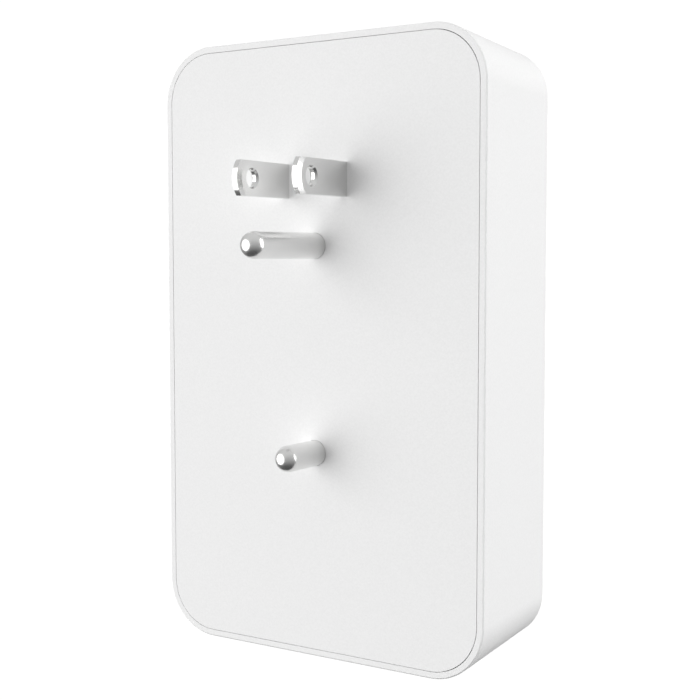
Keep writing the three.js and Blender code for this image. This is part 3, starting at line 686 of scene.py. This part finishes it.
# How each number on the display is laid out: left end, foot, bar length, bar thickness, pitch and digits
DISPLAY_LINES = [
    (-16.2, -5.4, 4.1, 0.92, 6.9, " 000"),
    (13.4, -5.4, 1.9, 0.44, 3.3, " 0"),
    (-16.2, 7.2, 1.9, 0.44, 3.3, "00"),
    (-8.2, 7.2, 1.9, 0.44, 3.3, "00"),
    (7.0, 7.2, 1.9, 0.44, 3.3, "   0"),
]
# The decimal point, the colon's two dots and the line under the upper row: middle, width and height
DISPLAY_SQUARES = [
    (3.0, -5.35, 0.95, 0.95),
    (-9.0, 8.3, 0.5, 0.5),
    (-8.8, 10.0, 0.5, 0.5),
    (0, 5.2, 37.0, 0.16),
]
DISPLAY_MARK_HEIGHTS = (0.03, 0.005)  # the marks' face and back, from the LCD's glass


def bar_outline(corner, length, thick, bar):
    """One bar of a digit whose lower left corner is given, as a slanted six-sided outline."""
    across, up, upright = bar
    half, reach = thick / 2, length / 2 - BAR_SHORTENING * length
    shape = [(-reach, 0), (-reach + half, -half), (reach - half, -half), (reach, 0), (reach - half, half)]
    shape.append((-reach + half, half))
    points = []
    for along, aside in shape:
        x, z = (-aside, along) if upright else (along, aside)
        z += up * length
        points.append((corner[0] + across * length + x + DIGIT_SLANT * z, corner[1] + z))
    return points


def display_bars(lit):
    """Outlines of every bar that is lit, or of every one that isn't. Only noughts and blanks are shown."""
    outlines = []
    for left, foot, length, thick, pitch, digits in DISPLAY_LINES:
        for i, digit in enumerate(digits):
            for place, bar in DIGIT_BARS.items():
                if (digit == "0" and place != "middle") == lit:
                    outlines.append(bar_outline((left + i * pitch, foot), length, thick, bar))
    return outlines


def build_display_marks(name, lit):
    glass = box_mm("lcd_glass")[0].y
    outlines = display_bars(lit)
    if lit:
        outlines += [square(*place) for place in DISPLAY_SQUARES]
    return plates(name, outlines, [glass - height for height in DISPLAY_MARK_HEIGHTS])


def build_key(name, x):
    """A soft-edged keycap with a low crown, a flange behind it and a round stem."""
    top, flange_back = FRONT_Y - KEY_PROUD, FRONT_Y + KEY_FLANGE_Y
    flange_thick = 1
    flange_front = flange_back - flange_thick
    stem_end = box_mm(name.replace("_keycap", "_key"))[1].y
    stem_width = 3
    stem_edge = 0.15
    flange_edge = 0.1
    edge = 0.55
    edge_stretch = 1.3  # how much further the edge goes in than down
    crown = 0.14
    crown_reach = 3.1  # from the cap's side to where the crown is flat

    def stem(shrink):
        width = stem_width - 2 * shrink
        return lambda grow: rounded_rect(width, width, width / 2 - 0.01, (x, KEY_Z), steps=16)

    rings = levels_of(stem(stem_edge), [(0, stem_end)])
    rings += levels_of(stem(0), [(0, stem_end - stem_edge), (0, flange_back)])
    levels = [
        (KEY_FLANGE - flange_edge, flange_back),
        (KEY_FLANGE, flange_back - flange_edge),
        (KEY_FLANGE, flange_front + flange_edge),
        (KEY_FLANGE - flange_edge, flange_front),
        (0, flange_front),
    ]
    levels += [(-edge_stretch * across, top + crown + along) for across, along in quarter_round(edge, 7)]
    steps = 8
    for i in range(1, steps + 1):
        share = i / steps
        inset = edge_stretch * edge + share * (crown_reach - edge_stretch * edge)
        levels.append((-inset, top + crown * (1 - share) ** 2))
    return skin(name, rings + levels_of(key_outline(x), levels))


def key_mark(index, shrink=0.0):
    """The outlines of one key's sunk mark: bars, an arrowhead down, an arrowhead up and a broken ring."""
    x, z = key_x(index), KEY_Z
    if KEY_NAMES[index] == "mode":
        length, thick, pitch = 2.8 - shrink, 0.46 - shrink, 0.95
        return [square(x, z + row * pitch, length, thick) for row in (-1, 0, 1)]
    if KEY_NAMES[index] == "reset":
        steps, opening = 40, 60
        turns = [math.radians(opening + (360 - opening) * i / steps) for i in range(steps + 1)]
        outer, inner = 1.32 - shrink / 2, 0.86 + shrink / 2
        arc = [(x + outer * math.sin(a), z + outer * math.cos(a)) for a in turns]
        return [arc + [(x + inner * math.sin(a), z + inner * math.cos(a)) for a in reversed(turns)]]
    way = 1 if KEY_NAMES[index] == "up" else -1
    reach = 1.45 - shrink
    foot, tip = z - way * 0.62 * reach, z + way * 0.75 * reach
    return [[(x - reach, foot), (x + reach, foot), (x, tip)]]


def slot_outline(x, height):
    """The outline of a blade slot at x, as a function of how much it grows."""
    corner = 0.25
    return lambda grow: rounded_rect(
        SLOT_WIDTH + 2 * grow, height + 2 * grow, corner + max(grow, 0), (x, SOCKET_BLADE_Z), steps=4
    )


def ground_hole_outline(grow):
    """A ground hole is round on the side away from the blades and square on the other."""
    radius = GROUND_HOLE_RADIUS + grow
    steps = 32
    turns = [math.pi * (1 + i / steps) for i in range(steps + 1)]
    arc = [(radius * math.cos(a), SOCKET_GROUND_Z + radius * math.sin(a)) for a in turns]
    return [(radius, SOCKET_GROUND_Z + radius), (-radius, SOCKET_GROUND_Z + radius)] + arc


def build_socket_face():
    """The outlet's face with a flange behind, and two slots and a ground hole that have bevelled mouths."""
    low, high = box_mm("socket_face")
    step = high.y - SOCKET_FLANGE_THICK
    levels = [(SOCKET_FLANGE, high.y), (SOCKET_FLANGE, step), (0, step)]
    levels += [(-across, low.y + along) for across, along in quarter_round(MOUTH_EDGE)]
    face = skin("outlet_face", levels_of(socket_outline, levels))
    mouth = 0.55
    openings = [
        slot_outline(BLADE_SPACING / 2, LINE_SLOT_HEIGHT),
        slot_outline(-BLADE_SPACING / 2, NEUTRAL_SLOT_HEIGHT),
        ground_hole_outline,
    ]
    for outline in openings:
        levels = [(0, high.y + OVERRUN), (0, low.y + mouth), (mouth, low.y), (mouth, low.y - OVERRUN)]
        cut(face, skin("tool", levels_of(outline, levels)))
    return face


def build_dome(name, x):
    """A silicone dome that a key's stem presses flat, open towards the board."""
    top, foot = (corner.y for corner in box_mm(name))
    height = foot - top
    outside = [(0, 0), (1.5, 0), (1.8, 0.08), (2.1, 0.3), (2.4, 0.7)]
    outside += [(3.1, height - 0.8), (3.3, height - 0.62)]
    rim = [(3.8, height - 0.6), (3.8, height)]
    inside = [(2.5, height), (1.9, 1.4), (1.6, 1.2), (0, 1.2)]
    profile = [(radius, top + y) for radius, y in outside + rim + inside]
    return turned(name + "_soft", profile, (x, KEY_Z), steps=40)


# ---- scene ----

VIEW_AZIMUTH = 212.756
VIEW_ELEVATION = 3.9525
VIEW_DISTANCE = 241.9
VIEW_AIM = (-3.64, -6.34, -31.14)
VIEW_LENS = 66.83
BACKGROUND = {"Color": (1, 1, 1, 1), "Strength": 1.05}  # the white that the camera sees
# Brightness of the surroundings from straight down, 0, to straight up, 1
WORLD_TONES = [
    (0.0, 0.09),
    (0.1, 0.11),
    (0.2, 0.22),
    (0.3, 0.3),
    (0.4, 0.365),
    (0.5, 0.45),
    (0.6, 0.49),
    (0.75, 0.61),
    (0.9, 0.7),
    (1.0, 0.72),
]


def towards(azimuth, elevation):
    """A unit vector out of the object from angles in degrees; azimuth 0 is its front (-Y), 180 its back."""
    a, e = math.radians(azimuth), math.radians(elevation)
    return Vector((math.sin(a) * math.cos(e), -math.cos(a) * math.cos(e), math.sin(e)))


def add_camera():
    camera = bpy.data.objects.new("camera", bpy.data.cameras.new("camera"))
    direction = towards(VIEW_AZIMUTH, VIEW_ELEVATION)
    camera.location = (Vector(VIEW_AIM) + VIEW_DISTANCE * direction) * MM
    camera.rotation_euler = (-direction).to_track_quat("-Z", "Y").to_euler()
    camera.data.lens = VIEW_LENS
    camera.data.clip_start = 0.005
    bpy.context.scene.collection.objects.link(camera)
    bpy.context.scene.camera = camera


def add_softbox(name, azimuth, elevation, distance, size, radiance, lights=("diffuse", "glossy")):
    """An elliptical light that faces the middle of the case; radiance is its surface brightness.

    Lights names the kinds of shading that it lights, so that gloss can have a smaller light than the rest.
    """
    light = bpy.data.lights.new(name, "AREA")
    light.shape = "ELLIPSE"
    light.size, light.size_y = (s * MM for s in size)
    light.energy = radiance * math.pi * (math.pi / 4 * light.size * light.size_y)
    made = bpy.data.objects.new(name, light)
    direction = towards(azimuth, elevation)
    made.location = (Vector((0, 0, CASE_CENTRE_Z)) + distance * direction) * MM
    made.rotation_euler = (-direction).to_track_quat("-Z", "Y").to_euler()
    made.visible_diffuse = "diffuse" in lights
    made.visible_glossy = "glossy" in lights
    made.visible_transmission = False  # keeps sparks out of the display window
    bpy.context.scene.collection.objects.link(made)


def add_world():
    """Studio surroundings: a dark floor and lighter ceiling for the object, plain white for the camera."""
    world = bpy.data.worlds.new("studio")
    bpy.context.scene.world = world
    world.use_nodes = True
    tree = world.node_tree
    tree.nodes.clear()
    place = add_node(tree, "ShaderNodeTexCoord")
    split = add_node(tree, "ShaderNodeSeparateXYZ")
    tree.links.new(place.outputs["Generated"], split.inputs["Vector"])
    height = add_node(tree, "ShaderNodeMapRange", inputs={"From Min": -1.0, "From Max": 1.0})
    tree.links.new(split.outputs["Z"], height.inputs["Value"])
    ramp = add_node(tree, "ShaderNodeValToRGB")
    tree.links.new(height.outputs["Result"], ramp.inputs["Fac"])
    elements = ramp.color_ramp.elements
    for at, _ in WORLD_TONES[1:-1]:
        elements.new(at)
    for element, (_, tone) in zip(elements, WORLD_TONES):
        element.color = (*grey(tone), 1)
    studio = add_node(tree, "ShaderNodeBackground")
    tree.links.new(ramp.outputs["Color"], studio.inputs["Color"])
    plain = add_node(tree, "ShaderNodeBackground", inputs=BACKGROUND)
    rays = add_node(tree, "ShaderNodeLightPath")
    pick = add_node(tree, "ShaderNodeMixShader")
    tree.links.new(rays.outputs["Is Camera Ray"], pick.inputs[0])
    tree.links.new(studio.outputs[0], pick.inputs[1])
    tree.links.new(plain.outputs[0], pick.inputs[2])
    output = add_node(tree, "ShaderNodeOutputWorld")
    tree.links.new(pick.outputs[0], output.inputs["Surface"])


def add_floor():
    """A plain white floor under the case, there only for a camera above it."""
    reach = 3000 * MM
    z = case_low.z * MM
    mesh = bpy.data.meshes.new("floor")
    mesh.from_pydata([(x, y, z) for x, y in square(0, 0, 2 * reach, 2 * reach)], [], [(0, 1, 2, 3)])
    floor = bpy.data.objects.new("floor", mesh)
    bpy.context.scene.collection.objects.link(floor)
    material, tree, shader = new_material("floor_white")
    tree.nodes.remove(shader)
    glow = add_node(tree, "ShaderNodeEmission", inputs=BACKGROUND)
    clear = add_node(tree, "ShaderNodeBsdfTransparent")
    side = add_node(tree, "ShaderNodeNewGeometry")
    pick = add_node(tree, "ShaderNodeMixShader")
    tree.links.new(side.outputs["Backfacing"], pick.inputs[0])
    tree.links.new(glow.outputs[0], pick.inputs[1])
    tree.links.new(clear.outputs[0], pick.inputs[2])
    tree.links.new(pick.outputs[0], tree.nodes["Material Output"].inputs["Surface"])
    floor.data.materials.append(material)
    floor.visible_diffuse = False
    floor.visible_glossy = False
    floor.visible_shadow = False


bpy.context.scene.view_settings.view_transform = "Standard"
bpy.context.scene.cycles.blur_glossy = 0.0  # keeps the glow that the metal throws on the plate
add_camera()
add_world()
add_floor()
add_softbox("softbox_back_left", 139, -2, 2600, (4500, 3780), 1.73)
add_softbox("softbox_right", 288, 12, 1100, (1030, 1270), 2.82, ("diffuse",))
add_softbox("softbox_right_shine", 294, 12, 1100, (760, 1270), 2.9, ("glossy",))
add_softbox("softbox_front", 26, 2, 1100, (860, 860), 2.35, ("diffuse",))

for name, node in frame["nodes"].items():
    part = next(part for part in frame["record"]["subparts"] if part["node"] == name)
    for place in node.material_slots:
        place.material = MATERIALS[part["material_slot"]]

finish_piece(build_housing(), "meter", "white_plastic", "front_housing")
finish_piece(build_cover(), "meter", "white_plastic", "rear_cover")
for side, node in ((1, "line_blade"), (-1, "neutral_blade")):
    finish_piece(build_blade(node + "_fine", side), "meter", "plated_brass", node, sharp_above=8)
for node, has_tail in (("ground_pin", True), ("retaining_pin", False)):
    finish_piece(build_pin(node + "_fine", node, has_tail), "meter", "plated_brass", node, TURNED_BRASS)

window = build_window()
window.visible_shadow = False
finish_piece(window, "meter", "window_clear", "display_window")
finish_piece(build_window_border(), "meter", "black_plastic", material=BORDER_PRINT)
finish_piece(build_display_marks("display_digits", True), "meter", "black_plastic", material=DISPLAY_DARK)
finish_piece(build_display_marks("display_blanks", False), "meter", "lcd", material=DISPLAY_FAINT)
finish_piece(build_socket_face(), "meter", "white_plastic", "socket_face")
keycap_top = FRONT_Y - KEY_PROUD
for index, name in enumerate(KEY_NAMES):
    x = key_x(index)
    body = name + "_button"
    key = build_key(name + "_keycap", x)
    cut(key, plates("tool", key_mark(index), (FRONT_Y - 2 * OVERRUN, keycap_top + MARK_DEPTH)))
    finish_piece(key, body, "key_plastic", name + "_key")
    depths = [keycap_top + depth for depth in MARK_PAINT_DEPTHS]
    mark = plates(name + "_mark", key_mark(index, MARK_GAP), depths)
    finish_piece(mark, body, "black_plastic", material=MARK_PAINT)
    dome = build_dome(name + "_key_dome", x)
    finish_piece(dome, "meter", "silicone", name + "_key_dome")
    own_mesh(dome)
